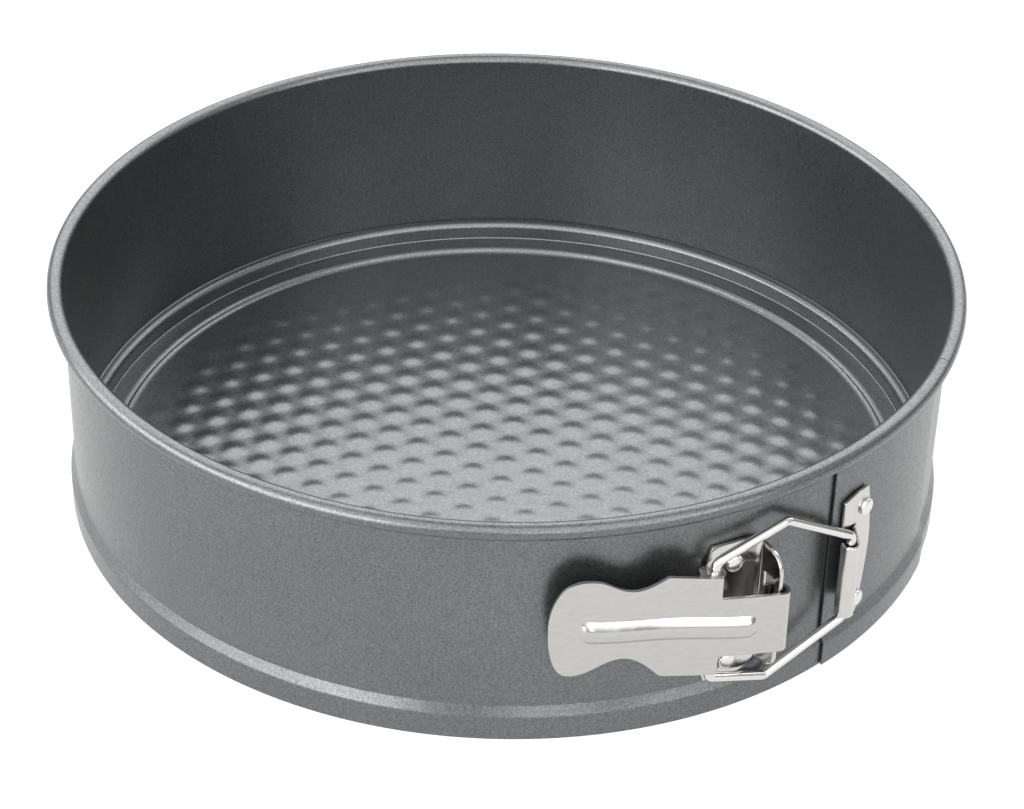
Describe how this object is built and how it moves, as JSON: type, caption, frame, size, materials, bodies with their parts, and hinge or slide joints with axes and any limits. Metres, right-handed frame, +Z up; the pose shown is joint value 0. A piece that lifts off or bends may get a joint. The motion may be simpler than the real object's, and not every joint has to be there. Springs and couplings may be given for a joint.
{
  "type": "springform pan",
  "caption": "Round springform cake pan with a sprung sheet band, a loose pressed floor plate and an over-centre lever and wire latch.",
  "frame": {"origin": "centre of the floor plate's underside", "axes": "+Z up along the pan's axis, out of its open top; the band's overlap seam is towards -Y and its back is towards +Y"},
  "size_m": [0.248, 0.2531, 0.0667],
  "materials": {
    "non_stick_coating": "dark grey non-stick coating, fine metallic speckle, semi-matte",
    "floor_coating": "dark grey non-stick coating over an embossed sheet, semi-matte",
    "bright_steel": "bright nickel-plated stamped sheet, lightly scuffed",
    "bright_wire": "bright plated drawn wire",
    "rivet_steel": "satin plated rivet heads"
  },
  "bodies": {
    "band_left": {"band_left_half": "non_stick_coating", "base_bracket": "bright_steel", "base_rivet_upper": "rivet_steel", "base_rivet_lower": "rivet_steel"},
    "band_right": {"band_right_half": "non_stick_coating", "catch": "bright_steel", "catch_rivet_upper": "rivet_steel", "catch_rivet_lower": "rivet_steel"},
    "latch_lever": {"lever": "bright_steel"},
    "latch_wire": {"wire_bail": "bright_wire"},
    "pan_floor": {"floor_plate": "floor_coating"}
  },
  "joints": [
    {"name": "lever_swing", "type": "hinge", "parent": "band_left", "child": "latch_lever", "pos_m": [-0.02524, -0.1263, 0.0294], "axis": [0, 0, 1], "range_deg": [0, 150]},
    {"name": "band_flex", "type": "hinge", "parent": "band_left", "child": "band_right", "pos_m": [0, 0.1248, 0.0294], "axis": [0, 0, 1], "range_deg": [0, 4.9]},
    {"name": "wire_swing", "type": "hinge", "parent": "band_right", "child": "latch_wire", "pos_m": [0.0026, -0.1253, 0.0294], "axis": [0, 0, 1], "range_deg": [0, 25.8]},
    {"name": "floor_lift", "type": "slide", "parent": "band_left", "child": "pan_floor", "axis": [0, 0, 1], "range_m": [0, 0.08]}
  ],
  "couplings": [
    {"joint": "band_flex", "follows": "lever_swing", "ratio": 0.031975},
    {"joint": "wire_swing", "follows": "lever_swing", "ratio": 0.17185}
  ]
}
